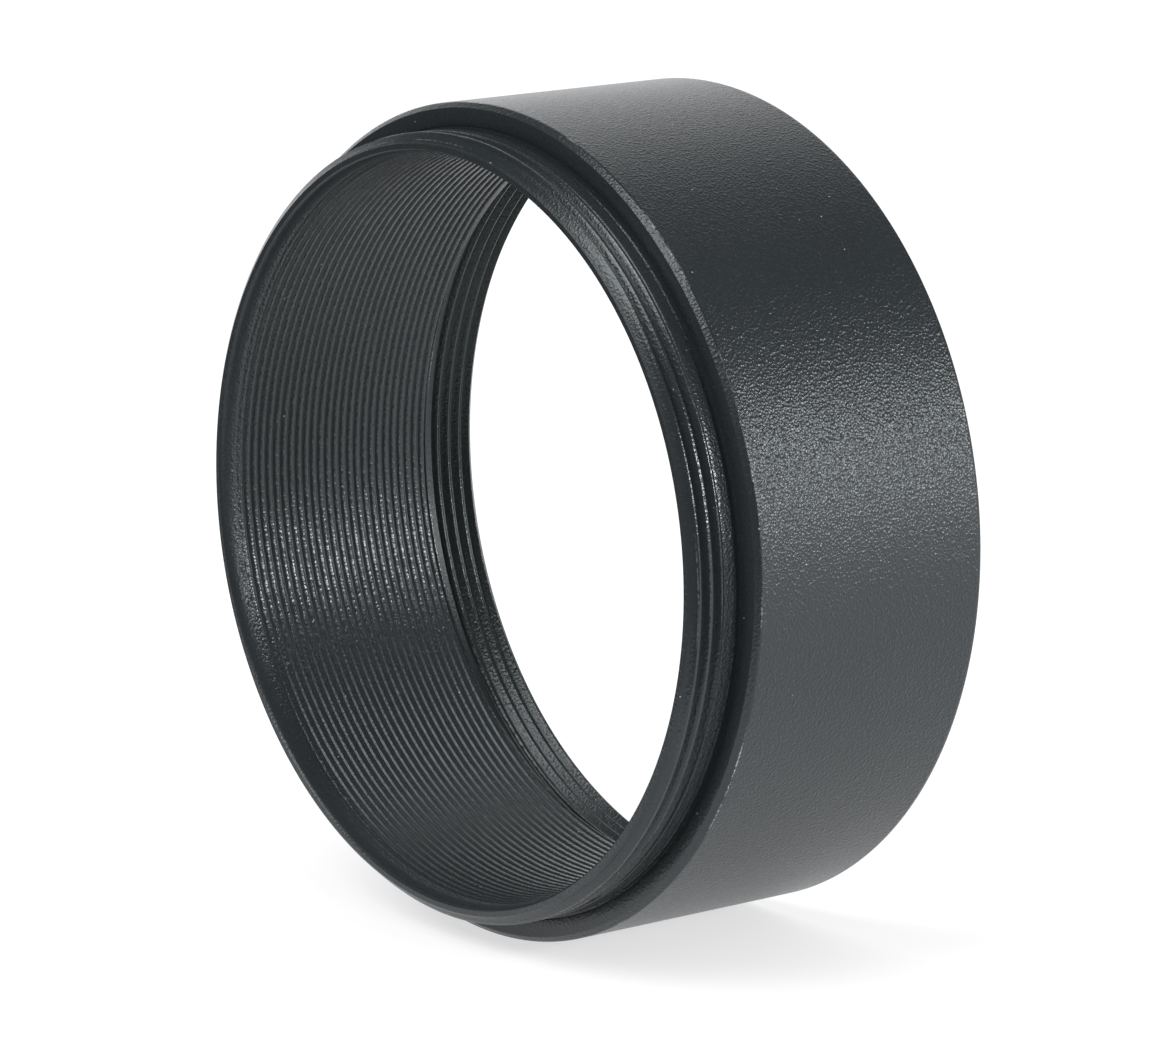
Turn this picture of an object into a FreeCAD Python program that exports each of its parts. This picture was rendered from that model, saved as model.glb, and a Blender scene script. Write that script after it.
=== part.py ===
import FreeCAD, Part
import math
import os

# Extension tube for telescope accessories: one turned aluminium ring with a male M42 x 0.75 thread at
# its front, a female thread of the same size at its rear, and a fine baffle thread down its bore.
# Millimetres. The optical axis is Y, the front (male) end points to -Y, and the ring lies on its round
# side with +Z up. The origin is on the axis in the plane of the shoulder, which is the tube's datum.
# Angles are degrees about Y, from +X towards +Z.

# Driving dimensions
THREAD_D = 42.0             # nominal diameter of both mounting threads
PITCH = 0.75                # pitch of both mounting threads
BARREL_D = 44.6             # outside of the barrel
BODY_LENGTH = 15.0          # shoulder to rear face, the length that the tube adds to a light path
SPIGOT_LENGTH = 3.0         # how far the male end stands out of the shoulder
SOCKET_DEPTH = 3.9          # rear face to the floor of the socket, where the bore narrows
BORE_D = 39.8               # clear bore, over the crests of the baffle thread
BAFFLE_PITCH = 0.5

# Mounting threads: 60 degree flanks on the ISO metric profile, with crests inside their tolerances
MALE_D = THREAD_D - 0.14    # over the male crests
FEMALE_D = THREAD_D - 0.68  # inside the female crests
MALE_ROOT_D = THREAD_D - 2 * 0.6134 * PITCH
FLANK = math.tan(math.radians(30))
MALE_END_Y = -1.15          # middle of the male groove where it stops
MALE_END_ANGLE = 183
FEMALE_START_Y = 11.9
FEMALE_START_ANGLE = 120

# Baffle thread: a shallow V down the bore, which breaks up light that glances along it
BAFFLE_DEPTH = 0.22
BAFFLE_MOUTH = 0.4          # width of the groove at the bore
BAFFLE_START_Y = -2.4
BAFFLE_START_ANGLE = 250

# Edges and reliefs
BARREL_CHAMFER = 0.3        # front edge of the barrel
REAR_EDGE = 0.15            # edge break round the rear face
LEAD_DEPTH = 0.53           # lead chamfer of the male thread, across the axis
LEAD_LENGTH = 0.38          # and along it
ENTRY_CHAMFER = 0.2         # mouth of the bore
RELIEF_LENGTH = 0.3         # undercut between the male thread and the shoulder
RELIEF_D = 41.2
STEP_D = 42.12              # the shoulder's inner border is cut back a little inside this diameter
STEP_DEPTH = 0.04
SOCKET_RELIEF_LENGTH = 1.1  # undercut between the socket's floor and the female thread
SOCKET_RELIEF_D = 42.2
SOCKET_MOUTH_D = 42.1       # mouth of the female thread, at the rear face
OVERCUT = 0.04              # how far the thread cutters stand clear of the crests

BARREL_R = BARREL_D / 2
BORE_R = BORE_D / 2
MALE_R = MALE_D / 2
FEMALE_R = FEMALE_D / 2
FRONT_Y = -SPIGOT_LENGTH
REAR_Y = BODY_LENGTH
SOCKET_FLOOR_Y = BODY_LENGTH - SOCKET_DEPTH
THREAD_Y = SOCKET_FLOOR_Y + SOCKET_RELIEF_LENGTH
AXIS = FreeCAD.Vector(0, 1, 0)
ORIGIN = FreeCAD.Vector(0, 0, 0)


def blank():
    """The turned ring before its threads are cut, from (radius, y) corners of its half section."""
    mouth = SOCKET_MOUTH_D / 2
    section = [
        (BORE_R + ENTRY_CHAMFER, FRONT_Y),
        (MALE_R - LEAD_DEPTH, FRONT_Y),
        (MALE_R, FRONT_Y + LEAD_LENGTH),
        (MALE_R, -RELIEF_LENGTH),
        (RELIEF_D / 2, -RELIEF_LENGTH),
        (RELIEF_D / 2, STEP_DEPTH),
        (STEP_D / 2, STEP_DEPTH),
        (STEP_D / 2, 0),
        (BARREL_R - BARREL_CHAMFER, 0),
        (BARREL_R, BARREL_CHAMFER),
        (BARREL_R, REAR_Y - REAR_EDGE),
        (BARREL_R - REAR_EDGE, REAR_Y),
        (mouth, REAR_Y),
        (FEMALE_R, REAR_Y - (mouth - FEMALE_R)),
        (FEMALE_R, THREAD_Y),
        (SOCKET_RELIEF_D / 2, THREAD_Y),
        (SOCKET_RELIEF_D / 2, SOCKET_FLOOR_Y),
        (BORE_R, SOCKET_FLOOR_Y),
        (BORE_R, FRONT_Y + ENTRY_CHAMFER),
    ]
    corners = [FreeCAD.Vector(radius, y, 0) for radius, y in section]
    face = Part.Face(Part.makePolygon(corners + corners[:1]))
    return face.revolve(ORIGIN, AXIS, 360)


def groove(mouth_r, root_r, mouth_width, root_width, pitch, start_y, end_y, start_angle):
    """A right-handed helical cutter about Y, whose middle runs from start_y to end_y."""
    out = 1 if root_r > mouth_r else -1
    slope = (mouth_width - root_width) / 2 / abs(root_r - mouth_r)
    outer_half = mouth_width / 2 + OVERCUT * slope
    corners = [
        FreeCAD.Vector(mouth_r - out * OVERCUT, 0, -outer_half),
        FreeCAD.Vector(root_r, 0, -root_width / 2),
        FreeCAD.Vector(root_r, 0, root_width / 2),
        FreeCAD.Vector(mouth_r - out * OVERCUT, 0, outer_half),
    ]
    helix = Part.makeHelix(pitch, end_y - start_y, mouth_r)
    profile = Part.makePolygon(corners + corners[:1])
    cutter = Part.Wire(helix.Edges).makePipeShell([profile], True, True)
    cutter.rotate(ORIGIN, FreeCAD.Vector(1, 0, 0), -90)
    cutter.rotate(ORIGIN, AXIS, -start_angle)
    cutter.translate(FreeCAD.Vector(0, start_y, 0))
    return cutter


def male_groove():
    nominal_r = THREAD_D / 2
    root_r = MALE_ROOT_D / 2
    mouth_width = PITCH * 7 / 8 - 2 * FLANK * (nominal_r - MALE_R)
    root_width = PITCH * 7 / 8 - 2 * FLANK * (nominal_r - root_r)
    start_y = FRONT_Y - PITCH
    start_angle = MALE_END_ANGLE + 360 * (MALE_END_Y - start_y) / PITCH
    return groove(MALE_R, root_r, mouth_width, root_width, PITCH, start_y, MALE_END_Y, start_angle)


def female_groove():
    nominal_r = THREAD_D / 2
    root_width = PITCH / 8
    mouth_width = root_width + 2 * FLANK * (nominal_r - FEMALE_R)
    end_y = REAR_Y + PITCH
    return groove(
        FEMALE_R, nominal_r, mouth_width, root_width, PITCH, FEMALE_START_Y, end_y, FEMALE_START_ANGLE
    )


def baffle_groove():
    root_width = BAFFLE_MOUTH - 2 * FLANK * BAFFLE_DEPTH
    end_y = SOCKET_FLOOR_Y + BAFFLE_PITCH
    return groove(
        BORE_R,
        BORE_R + BAFFLE_DEPTH,
        BAFFLE_MOUTH,
        root_width,
        BAFFLE_PITCH,
        BAFFLE_START_Y,
        end_y,
        BAFFLE_START_ANGLE,
    )


def extension_tube():
    tube = blank()
    for cutter in (male_groove(), female_groove(), baffle_groove()):
        tube = tube.cut(cutter)
    return tube


os.makedirs("parts", exist_ok=True)
extension_tube().exportStep("parts/extension_tube.step")
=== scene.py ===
import math

import bpy
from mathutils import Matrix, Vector


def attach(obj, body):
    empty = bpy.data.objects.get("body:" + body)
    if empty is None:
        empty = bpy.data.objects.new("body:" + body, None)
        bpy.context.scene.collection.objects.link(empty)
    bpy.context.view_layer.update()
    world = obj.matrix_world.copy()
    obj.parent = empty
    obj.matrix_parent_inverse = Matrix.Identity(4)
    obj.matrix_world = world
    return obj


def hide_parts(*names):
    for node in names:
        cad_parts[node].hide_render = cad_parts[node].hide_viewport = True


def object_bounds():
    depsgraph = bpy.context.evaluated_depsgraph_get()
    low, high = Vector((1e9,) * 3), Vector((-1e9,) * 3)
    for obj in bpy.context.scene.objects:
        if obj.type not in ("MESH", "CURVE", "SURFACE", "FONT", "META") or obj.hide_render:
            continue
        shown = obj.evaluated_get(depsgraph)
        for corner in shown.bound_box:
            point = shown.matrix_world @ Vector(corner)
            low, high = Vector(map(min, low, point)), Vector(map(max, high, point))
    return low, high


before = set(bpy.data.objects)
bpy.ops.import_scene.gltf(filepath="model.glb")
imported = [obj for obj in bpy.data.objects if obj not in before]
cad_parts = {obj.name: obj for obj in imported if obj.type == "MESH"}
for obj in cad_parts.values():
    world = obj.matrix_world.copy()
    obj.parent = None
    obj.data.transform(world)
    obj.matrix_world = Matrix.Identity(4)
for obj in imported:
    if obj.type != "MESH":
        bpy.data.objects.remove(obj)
cad_low, cad_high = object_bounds()

# A short threaded extension ring, rebuilt as one fine mesh around its CAD solid. The optical axis is Y
# and the male end points to -Y. The half section is in millimetres. A turn is a fraction of a full circle
# about Y, from +X towards +Z. Every vertex carries an edge value: 1 on a rubbed corner, -1 in a root,
# where the material paints shade into the base colour.
MM = 0.001
BARREL_R = (cad_high[0] - cad_low[0]) / 2 / MM
FRONT_Y = cad_low[1] / MM
REAR_Y = cad_high[1] / MM
FLOOR_Z = cad_low[2]
SEGMENTS = 240
SAME_PLACE = 0.001          # points nearer than this to a thread's end plane are left to the end point
SHARP_ANGLE = 32            # degrees between faces from which a corner is shaded as sharp

THREAD_PITCH = 0.75
MALE_R = 20.93              # over the crests of the male thread
MALE_ROOT_R = 20.54
MALE_CREST_Y = -1.825       # middle of a male crest at turn 0
MALE_FADE_START_Y = -1.42   # a male groove further back than this is shallower
MALE_FADE_END_Y = -1.2      # and one further back than this is gone
MALE_STOP_Y = -1.15         # where the male thread's rows end
FEMALE_R = 20.66            # inside the crests of the female thread
FEMALE_ROOT_R = 21.0
FEMALE_CREST_Y = 12.806
BORE_R = 19.9               # inside the crests of the baffle thread
BAFFLE_ROOT_R = 20.015
BAFFLE_PITCH = 0.5
BAFFLE_CREST_Y = 0.0
BAFFLE_START_Y = -2.2
BAFFLE_FADE_LENGTH = 0.9    # the baffle thread reaches its full depth over this length
RELIEF_R = 20.6             # floor of the undercut at the shoulder
SOCKET_RELIEF_R = 20.9      # floor of the undercut in front of the female thread
MOUTH_R = 21.0              # mouth of the female thread at the rear face
STEP_Y = 11.1               # where the bore steps out into the socket
STEP_LIP = 0.17             # plain lip between the baffle thread and the step
SOCKET_Y = 12.2             # where the female thread begins
LEAD_R = 20.4               # the lead chamfer's small end, on the front face
LEAD_LENGTH = 0.38
SHOULDER_R = 21.08          # inner edge of the shoulder's bearing face, which lies at y = 0
SHOULDER_DROP = 0.04        # how far the ring inside it stands back

# One pitch of each thread as (place in the pitch, height, edge). A crest is at place 0, and height runs
# from 0 at the root to 1 at the crest.
V_THREAD = [
    (0.0, 1.0, 0.4),
    (0.09, 1.0, 0.6),
    (0.14, 0.93, 0.6),
    (0.26, 0.5, 0.0),
    (0.41, 0.05, -0.5),
    (0.45, 0.0, -0.8),
    (0.55, 0.0, -0.8),
    (0.59, 0.05, -0.5),
    (0.74, 0.5, 0.0),
    (0.86, 0.92, 0.88),
    (0.91, 1.0, 0.88),
]
SHARP_CREST_THREAD = [
    (0.0, 1.0, 0.35),
    (0.05, 1.0, 0.35),
    (0.09, 0.93, 0.2),
    (0.25, 0.5, 0.0),
    (0.42, 0.04, -0.3),
    (0.46, 0.0, -0.4),
    (0.54, 0.0, -0.4),
    (0.58, 0.04, -0.3),
    (0.75, 0.5, 0.0),
    (0.91, 0.93, 0.2),
    (0.95, 1.0, 0.35),
]
BAFFLE_THREAD = [
    (0.0, 1.0, 0.6),
    (0.08, 1.0, 0.5),
    (0.14, 0.98, 0.1),
    (0.25, 0.84, 0.0),
    (0.38, 0.2, -0.3),
    (0.45, 0.0, -0.5),
    (0.55, 0.0, -0.5),
    (0.62, 0.2, -0.3),
    (0.75, 0.84, 0.0),
    (0.86, 0.98, 0.1),
    (0.92, 1.0, 0.5),
]


# ---- The ring's mesh --------------------------------------------------------------------------------

def fade(start, end, value):
    """1 before start, 0 past end and smooth between."""
    t = min(max((value - start) / (end - start), 0.0), 1.0)
    return 1 - t * t * (3 - 2 * t)


def height_at(shape, place):
    """Height and edge of a thread's shape at any place in the pitch."""
    closed = shape + [(1.0,) + shape[0][1:]]
    for (place_a, height_a, edge_a), (place_b, height_b, edge_b) in zip(closed, closed[1:]):
        if place <= place_b:
            t = (place - place_a) / (place_b - place_a)
            return height_a + t * (height_b - height_a), edge_a + t * (edge_b - edge_a)


def lead_limit(y):
    """Radius of the lead chamfer, which cuts the male thread's first crests."""
    return LEAD_R + (y - FRONT_Y) * (MALE_R - LEAD_R) / LEAD_LENGTH


def mouth_limit(y):
    """Radius of the 45 degree mouth, which cuts the female thread's last crests."""
    return MOUTH_R - (REAR_Y - y)


def male_point(height, edge, y, middle):
    kept = fade(MALE_FADE_START_Y, MALE_FADE_END_Y, middle)
    radius = MALE_R - (1 - height) * kept * (MALE_R - MALE_ROOT_R)
    return min(radius, lead_limit(y)), edge * kept


def female_point(height, edge, y, middle):
    radius = FEMALE_ROOT_R - height * (FEMALE_ROOT_R - FEMALE_R)
    return max(radius, mouth_limit(y)), edge


def baffle_point(height, edge, y, middle):
    kept = 1 - fade(BAFFLE_START_Y, BAFFLE_START_Y + BAFFLE_FADE_LENGTH, middle)
    return BORE_R + (1 - height) * kept * (BAFFLE_ROOT_R - BORE_R), edge * kept


class Thread:
    """A right-handed thread between two planes: y falls as the turn grows. place_point turns a height, an
    edge, a y and the y of the groove's middle into a radius and an edge."""

    def __init__(self, name, shape, pitch, crest_y, low, high, place_point):
        self.name = name
        self.shape = shape
        self.pitch = pitch
        self.crest_y = crest_y
        self.low = low
        self.high = high
        self.place_point = place_point

    def end_point(self, y, turn):
        """Radius and edge where the thread meets one of its end planes."""
        pitches = (y - self.crest_y) / self.pitch + turn
        start = math.floor(pitches)
        height, edge = height_at(self.shape, pitches - start)
        middle = self.crest_y + self.pitch * (start + 0.5 - turn)
        return self.place_point(height, edge, y, middle)

    def points(self, turn, wrapped):
        """The thread's points at a turn, from low to high. wrapped numbers them as turn 0 does."""
        count = len(self.shape)
        first = math.floor((self.low - self.crest_y) / self.pitch)
        last = math.ceil((self.high - self.crest_y) / self.pitch) + 1
        found = []
        for start in range(first, last + 1):
            middle = self.crest_y + self.pitch * (start + 0.5 - turn)
            for number, (place, height, edge) in enumerate(self.shape):
                y = self.crest_y + self.pitch * (start + place - turn)
                if self.low + SAME_PLACE < y < self.high - SAME_PLACE:
                    step = (start - wrapped) * count + number
                    radius, shown_edge = self.place_point(height, edge, y, middle)
                    found.append(((self.name, step), radius, y, shown_edge))
        return found


male = Thread("male", V_THREAD, THREAD_PITCH, MALE_CREST_Y, FRONT_Y, MALE_STOP_Y, male_point)
female = Thread("female", SHARP_CREST_THREAD, THREAD_PITCH, FEMALE_CREST_Y, SOCKET_Y, REAR_Y, female_point)
baffle = Thread(
    "baffle", BAFFLE_THREAD, BAFFLE_PITCH, BAFFLE_CREST_Y, BAFFLE_START_Y, STEP_Y - STEP_LIP, baffle_point,
)

# The plain rows between the threads, as (radius, y, edge)
SPIGOT_END = [
    (MALE_R, -1.13, 0.8),
    (MALE_R - 0.05, -1.09, -1.0),
    (MALE_R - 0.05, -1.07, -1.0),
    (MALE_R, -1.025, 0.8),
    (MALE_R, -0.8, 0.0),
    (MALE_R - 0.012, -0.7, 0.0),
    (MALE_R, -0.6, 0.0),
    (MALE_R, -0.33, 0.6),
    (MALE_R - 0.03, -0.3, 0.8),
    (RELIEF_R + 0.05, -0.28, -0.5),
    (RELIEF_R, -0.23, -1.0),
    (RELIEF_R, -0.19, -1.0),
    (RELIEF_R + 0.04, -0.10, 0.0),
    (RELIEF_R + 0.12, -0.02, 0.5),
    (RELIEF_R + 0.21, 0.03, 0.5),
    (RELIEF_R + 0.26, SHOULDER_DROP, 0.0),
    (SHOULDER_R - 0.05, SHOULDER_DROP, 0.0),
    (SHOULDER_R - 0.02, 0.01, 0.3),
    (SHOULDER_R, 0.0, 0.0),
]
BARREL = [
    (BARREL_R - 0.33, 0.0, 0.2),
    (BARREL_R - 0.3, 0.01, 0.6),
    (BARREL_R - 0.27, 0.04, 0.1),
    (BARREL_R - 0.06, 0.24, 0.2),
    (BARREL_R - 0.035, 0.265, 1.0),
    (BARREL_R, 0.33, 1.0),
    (BARREL_R, 0.38, 0.0),
    (BARREL_R, 4.0, 0.0),
    (BARREL_R, 7.5, 0.0),
    (BARREL_R, 11.0, 0.0),
    (BARREL_R, REAR_Y - 0.3, 0.0),
    (BARREL_R, REAR_Y - 0.15, 0.6),
    (BARREL_R - 0.04, REAR_Y - 0.04, 1.0),
    (BARREL_R - 0.15, REAR_Y, 0.8),
]
MOUTH_EDGE = [
    (MOUTH_R + 0.04, REAR_Y, 0.8),
]
SOCKET_RELIEF = [
    (SOCKET_RELIEF_R - 0.05, SOCKET_Y, -0.3),
    (SOCKET_RELIEF_R, SOCKET_Y - 0.05, -0.6),
    (SOCKET_RELIEF_R, STEP_Y + 0.1, -0.6),
    (SOCKET_RELIEF_R - 0.1, STEP_Y, -0.6),
    (BORE_R + 0.05, STEP_Y, 0.9),
    (BORE_R + 0.01, STEP_Y - 0.03, 0.9),
    (BORE_R + 0.01, STEP_Y - 0.10, 0.9),
]
BORE_ENTRY = [
    (BORE_R + 0.01, BAFFLE_START_Y - 0.15, -0.3),
    (BORE_R + 0.035, FRONT_Y + 0.45, -0.3),
    (BORE_R + 0.09, FRONT_Y + 0.20, -0.3),
    (BORE_R + 0.16, FRONT_Y + 0.05, -0.3),
    (BORE_R + 0.22, FRONT_Y, 0.0),
    (LEAD_R - 0.03, FRONT_Y, 0.2),
]


def section(turn, wrapped):
    """Every point of the half section at a turn, in order round the metal, as (key, radius, y, edge)."""
    points = []

    def plain(name, rows):
        points.extend(((name, number), *row) for number, row in enumerate(rows))

    def thread_end(thread, y, name):
        radius, edge = thread.end_point(y, turn)
        points.append(((thread.name, name), radius, y, edge))

    thread_end(male, male.low, "low")
    points.extend(male.points(turn, wrapped))
    thread_end(male, male.high, "high")
    plain("spigot_end", SPIGOT_END)
    plain("barrel", BARREL)
    plain("mouth_edge", MOUTH_EDGE)
    thread_end(female, female.high, "high")
    points.extend(reversed(female.points(turn, wrapped)))
    thread_end(female, female.low, "low")
    plain("socket_relief", SOCKET_RELIEF)
    thread_end(baffle, baffle.high, "high")
    points.extend(reversed(baffle.points(turn, wrapped)))
    thread_end(baffle, baffle.low, "low")
    plain("bore_entry", BORE_ENTRY)
    return points


def stitch(left, right, faces):
    """Joins two neighbouring columns of (key, vertex): quads, with triangles where a thread's row ends."""
    right_keys = {key for key, _ in right}
    i = 0
    j = 0
    while i < len(left) - 1 or j < len(right) - 1:
        next_left = left[min(i + 1, len(left) - 1)]
        next_right = right[min(j + 1, len(right) - 1)]
        if next_left[0] == next_right[0]:
            faces.append((left[i][1], next_left[1], next_right[1], right[j][1]))
            i += 1
            j += 1
        elif next_left[0] not in right_keys:
            faces.append((left[i][1], next_left[1], right[j][1]))
            i += 1
        else:
            faces.append((left[i][1], next_right[1], right[j][1]))
            j += 1


def build_ring():
    """The ring as columns of the half section, one per segment, with the last one stitched to the first."""
    verts = []
    edges = []
    faces = []
    columns = []
    for column in range(SEGMENTS):
        turn = column / SEGMENTS
        angle = 2 * math.pi * turn
        chain = []
        for key, radius, y, edge in section(turn, 0):
            chain.append((key, len(verts)))
            verts.append((radius * math.cos(angle) * MM, y * MM, radius * math.sin(angle) * MM))
            edges.append(edge)
        columns.append(chain)
    # A full turn on, each thread row lies where the row one pitch lower lay at turn 0, so the closing
    # column pairs turn 1's keys with the first column's vertices
    first = dict(columns[0])
    last_keys = [key for key, *_ in section(1.0, 0)]
    first_keys = [key for key, *_ in section(1.0, 1)]
    closing = [(last_key, first[first_key]) for last_key, first_key in zip(last_keys, first_keys)]
    for left, right in zip(columns, columns[1:] + [closing]):
        stitch(left + left[:1], right + right[:1], faces)

    mesh = bpy.data.meshes.new("extension_ring")
    mesh.from_pydata(verts, [], faces)
    mesh.validate()
    attribute = mesh.attributes.new("edge", "FLOAT", "POINT")
    attribute.data.foreach_set("value", edges)
    mesh.polygons.foreach_set("use_smooth", [True] * len(mesh.polygons))
    mesh.set_sharp_from_angle(angle=math.radians(SHARP_ANGLE))
    ring = bpy.data.objects.new("extension_ring", mesh)
    bpy.context.collection.objects.link(ring)
    return ring


# ---- Materials --------------------------------------------------------------------------------------

PIT_SIZE = 0.15             # millimetres, as are the five below
GRAIN_SIZE = 0.16
BREAK_SIZE = 0.16           # of the gaps in a worn line
PATCH_SIZE = 6.0            # of the tone's slow changes, and of the stretches where corners are worn
SPECK_SPACING = 1.4
BUMP_DEPTH = 0.028


def cells_per_metre(size_mm):
    return 1 / (size_mm * MM)


class Nodes:
    """Short calls for building a node tree."""

    def __init__(self, tree):
        self.tree = tree
        tree.nodes.clear()

    def add(self, kind, inputs=None, **settings):
        node = self.tree.nodes.new(kind)
        for name, value in settings.items():
            setattr(node, name, value)
        for name, value in (inputs or {}).items():
            socket = node.inputs[name]
            if isinstance(value, bpy.types.NodeSocket):
                self.tree.links.new(value, socket)
            else:
                socket.default_value = value
        return node

    def math(self, operation, a, b):
        return self.add("ShaderNodeMath", {0: a, 1: b}, operation=operation).outputs[0]

    def remap(self, value, low, high, to_low=0.0, to_high=1.0):
        inputs = {"Value": value, "From Min": low, "From Max": high, "To Min": to_low, "To Max": to_high}
        return self.add("ShaderNodeMapRange", inputs).outputs["Result"]

    def mix(self, factor, a, b):
        """A mix of two colours. 6, 7 and 2 are the colour sockets of the Mix node."""
        return self.add("ShaderNodeMix", {"Factor": factor, 6: a, 7: b}, data_type="RGBA").outputs[2]

    def noise(self, place, size_mm, roughness=0.5):
        inputs = {"Vector": place, "Scale": cells_per_metre(size_mm), "Detail": 2.0, "Roughness": roughness}
        return self.add("ShaderNodeTexNoise", inputs).outputs["Fac"]

    def cells(self, place, size_mm):
        """Distance to the nearest of many scattered points."""
        inputs = {"Vector": place, "Scale": cells_per_metre(size_mm)}
        return self.add("ShaderNodeTexVoronoi", inputs).outputs["Distance"]


def black_anodised():
    """Bead-blasted aluminium, anodised black: a fine pitted grain, rubbed corners, a few bright specks, and
    painted shade that darkens the roots.
    """
    material = bpy.data.materials.new("black_anodised_aluminium")
    material.use_nodes = True
    nodes = Nodes(material.node_tree)
    coordinates = nodes.add("ShaderNodeTexCoord").outputs
    place = coordinates["Object"]
    edge = nodes.add("ShaderNodeAttribute", attribute_name="edge").outputs["Fac"]

    pits = nodes.cells(place, PIT_SIZE)
    grain = nodes.noise(place, GRAIN_SIZE, roughness=0.6)
    patches = nodes.noise(place, PATCH_SIZE)
    breaks = nodes.noise(place, BREAK_SIZE, roughness=0.7)

    worn = nodes.math("MULTIPLY", nodes.remap(edge, 0.85, 0.98), nodes.remap(breaks, 0.42, 0.55))
    worn = nodes.math("MULTIPLY", worn, nodes.remap(patches, 0.55, 0.62))
    crest = nodes.remap(edge, 0.15, 0.5)
    shaded = nodes.remap(edge, 0.0, -1.0)
    speck = nodes.remap(nodes.cells(place, SPECK_SPACING), 0.036, 0.02)

    base = nodes.mix(patches, (0.014, 0.017, 0.0185, 1), (0.0185, 0.0225, 0.0245, 1))
    base = nodes.mix(nodes.remap(grain, 0.55, 0.8), base, (0.030, 0.035, 0.037, 1))
    # Painted shade: the base colour is darkened in the roots and undercuts, where the edge value is below 0
    base = nodes.mix(nodes.math("MULTIPLY", shaded, 0.2), base, (0.006, 0.008, 0.009, 1))
    base = nodes.mix(worn, base, (0.33, 0.33, 0.34, 1))
    base = nodes.mix(nodes.math("MULTIPLY", speck, 0.8), base, (0.35, 0.36, 0.37, 1))

    roughness = nodes.remap(grain, 0.3, 0.7, 0.33, 0.28)
    roughness = nodes.math("MULTIPLY", roughness, nodes.remap(crest, 0.0, 1.0, 1.0, 0.75))
    roughness = nodes.math("MULTIPLY", roughness, nodes.remap(shaded, 0.0, 1.0, 1.0, 1.6))
    height = nodes.math("ADD", nodes.math("MULTIPLY", pits, pits), nodes.math("MULTIPLY", grain, 0.7))
    # The faces that look to the front, the crests and the roots are smoother than the barrel
    facing = nodes.add("ShaderNodeSeparateXYZ", {0: coordinates["Normal"]}).outputs["Y"]
    blasting = nodes.remap(facing, -0.85, -0.4, 0.5, 1.0)
    blasting = nodes.math("MULTIPLY", blasting, nodes.remap(crest, 0.0, 1.0, 1.0, 0.5))
    blasting = nodes.math("MULTIPLY", blasting, nodes.remap(shaded, 0.1, 0.3, 1.0, 0.4))
    bump = nodes.add("ShaderNodeBump", {
        "Height": height,
        "Strength": blasting,
        "Distance": BUMP_DEPTH * MM,
    })
    shader = nodes.add("ShaderNodeBsdfPrincipled", {
        "Base Color": base,
        "Roughness": roughness,
        "Normal": bump.outputs["Normal"],
        "Metallic": worn,
        "Specular IOR Level": 0.52,
        "Specular Tint": (0.92, 0.98, 1.0, 1),
        "IOR": 1.45,
    })
    nodes.add("ShaderNodeOutputMaterial", {"Surface": shader.outputs[0]})
    return material


def floor_material():
    """A pale floor that glows a little, so that it comes out close to the photo's white."""
    material = bpy.data.materials.new("white_sweep")
    material.use_nodes = True
    nodes = Nodes(material.node_tree)
    shader = nodes.add("ShaderNodeBsdfPrincipled", {
        "Base Color": (0.37, 0.37, 0.375, 1),
        "Roughness": 0.9,
        "Specular IOR Level": 0.1,
        "Emission Color": (0.99, 0.99, 1.0, 1),
        "Emission Strength": 0.63,
    })
    nodes.add("ShaderNodeOutputMaterial", {"Surface": shader.outputs[0]})
    return material


# ---- Stage, lights and camera -----------------------------------------------------------------------

CENTRE = Vector((0, (cad_low[1] + cad_high[1]) / 2, 0))
FLOOR_REACH = 2.0           # metres, from the axis to the floor's far edges
FLOOR_FRONT_Y = -0.035      # metres, the floor's near edge


def build_floor():
    mesh = bpy.data.meshes.new("floor")
    corners = [
        (-FLOOR_REACH, FLOOR_FRONT_Y, FLOOR_Z),
        (FLOOR_REACH, FLOOR_FRONT_Y, FLOOR_Z),
        (FLOOR_REACH, FLOOR_REACH, FLOOR_Z),
        (-FLOOR_REACH, FLOOR_REACH, FLOOR_Z),
    ]
    mesh.from_pydata(corners, [], [(0, 1, 2, 3)])
    mesh.materials.append(floor_material())
    floor = bpy.data.objects.new("floor", mesh)
    bpy.context.collection.objects.link(floor)


def softbox(name, direction, distance, width, height, power):
    """A rectangular light that looks at the ring from a direction and isn't seen by the camera."""
    data = bpy.data.lights.new(name, "AREA")
    data.shape = "RECTANGLE"
    data.size = width
    data.size_y = height
    data.energy = power
    light = bpy.data.objects.new(name, data)
    bpy.context.collection.objects.link(light)
    aim = Vector(direction).normalized()
    light.location = CENTRE + aim * distance
    light.rotation_euler = aim.to_track_quat("Z", "Y").to_euler()
    light.visible_camera = False


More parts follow.
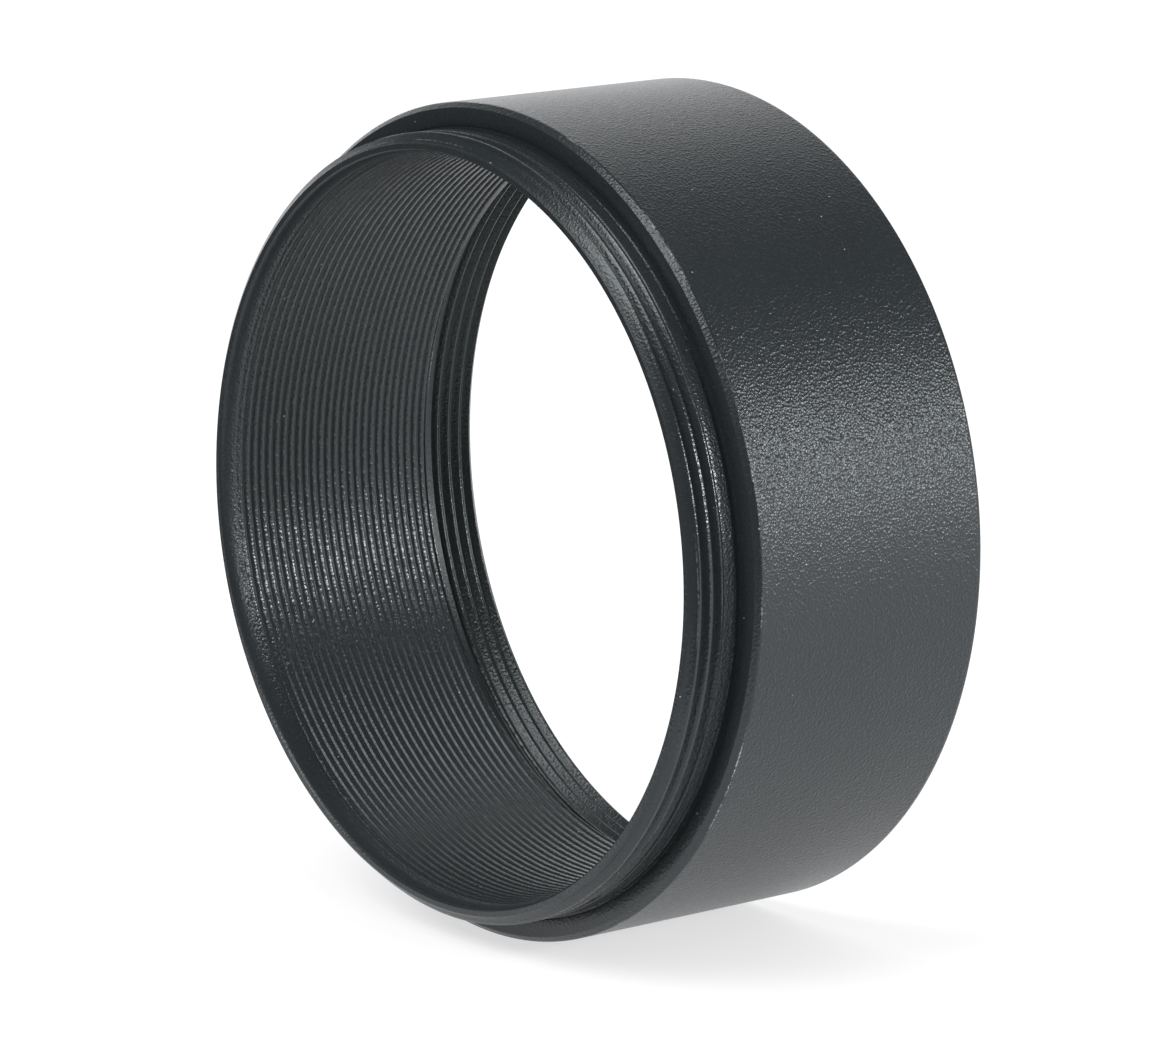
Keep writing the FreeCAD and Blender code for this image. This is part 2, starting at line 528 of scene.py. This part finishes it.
def build_world():
    """White to the camera and as fill. In reflections it is white behind the ring, but dark in front of it
    and in a wide patch overhead on the right."""
    world = bpy.data.worlds.new("studio")
    bpy.context.scene.world = world
    world.use_nodes = True
    nodes = Nodes(world.node_tree)
    direction = nodes.add("ShaderNodeTexCoord").outputs["Generated"]
    apart = nodes.add("ShaderNodeSeparateXYZ", {0: direction}).outputs
    path = nodes.add("ShaderNodeLightPath").outputs["Is Glossy Ray"]
    behind = nodes.remap(apart["Y"], -0.2, 0.2)
    left = nodes.remap(apart["X"], -0.12, -0.78)
    low = nodes.remap(apart["Z"], 0.45, 0.1, 0.0, 0.70)
    lit = nodes.math("MULTIPLY", behind, nodes.math("MAXIMUM", left, low))
    reflected = nodes.mix(lit, (0.015, 0.015, 0.015, 1), (1.5, 1.5, 1.52, 1))
    colour = nodes.mix(path, (1.0, 1.0, 1.0, 1), reflected)
    background = nodes.add("ShaderNodeBackground", {"Color": colour, "Strength": 1.0})
    nodes.add("ShaderNodeOutputWorld", {"Surface": background.outputs[0]})


def build_camera():
    """The camera fitted to the photo's circles. It stands off from a point on the axis, and its aim is
    shifted to the right of that point and a little above it."""
    azimuth = math.radians(52.53)
    elevation = math.radians(11.97)
    distance = 14.52 * BARREL_R * MM
    focal_over_width = 5.2894
    anchor_y = 0.12 * MM
    offset_right = 4.93 * MM
    offset_up = 0.06 * MM
    outward = Vector((
        math.sin(azimuth) * math.cos(elevation),
        -math.cos(azimuth) * math.cos(elevation),
        math.sin(elevation),
    ))
    anchor = Vector((0, anchor_y, 0))
    right = Vector((math.cos(azimuth), math.sin(azimuth), 0))
    up = outward.cross(right)
    data = bpy.data.cameras.new("camera")
    data.sensor_width = 36      # millimetres
    data.lens = data.sensor_width * focal_over_width
    data.clip_start = 0.01
    data.clip_end = 20
    camera = bpy.data.objects.new("camera", data)
    bpy.context.collection.objects.link(camera)
    camera.location = anchor + outward * distance
    target = anchor + right * offset_right + up * offset_up
    camera.rotation_euler = (target - camera.location).to_track_quat("-Z", "Y").to_euler()
    bpy.context.scene.camera = camera


# ---- Assembly ---------------------------------------------------------------------------------------

ring = build_ring()
ring.data.materials.append(black_anodised())
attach(ring, "root")
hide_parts("extension_tube")

build_floor()
build_world()
softbox("key", (0.765, 0.585, 0.262), distance=0.55, width=0.09, height=0.06, power=1.12)
softbox("side", (0.93, 0.25, 0.27), distance=0.55, width=0.10, height=0.06, power=0.45)
softbox("front", (0.03, -0.66, 0.75), distance=0.6, width=0.3, height=0.3, power=2.1)
build_camera()
bpy.context.scene.view_settings.view_transform = "Standard"
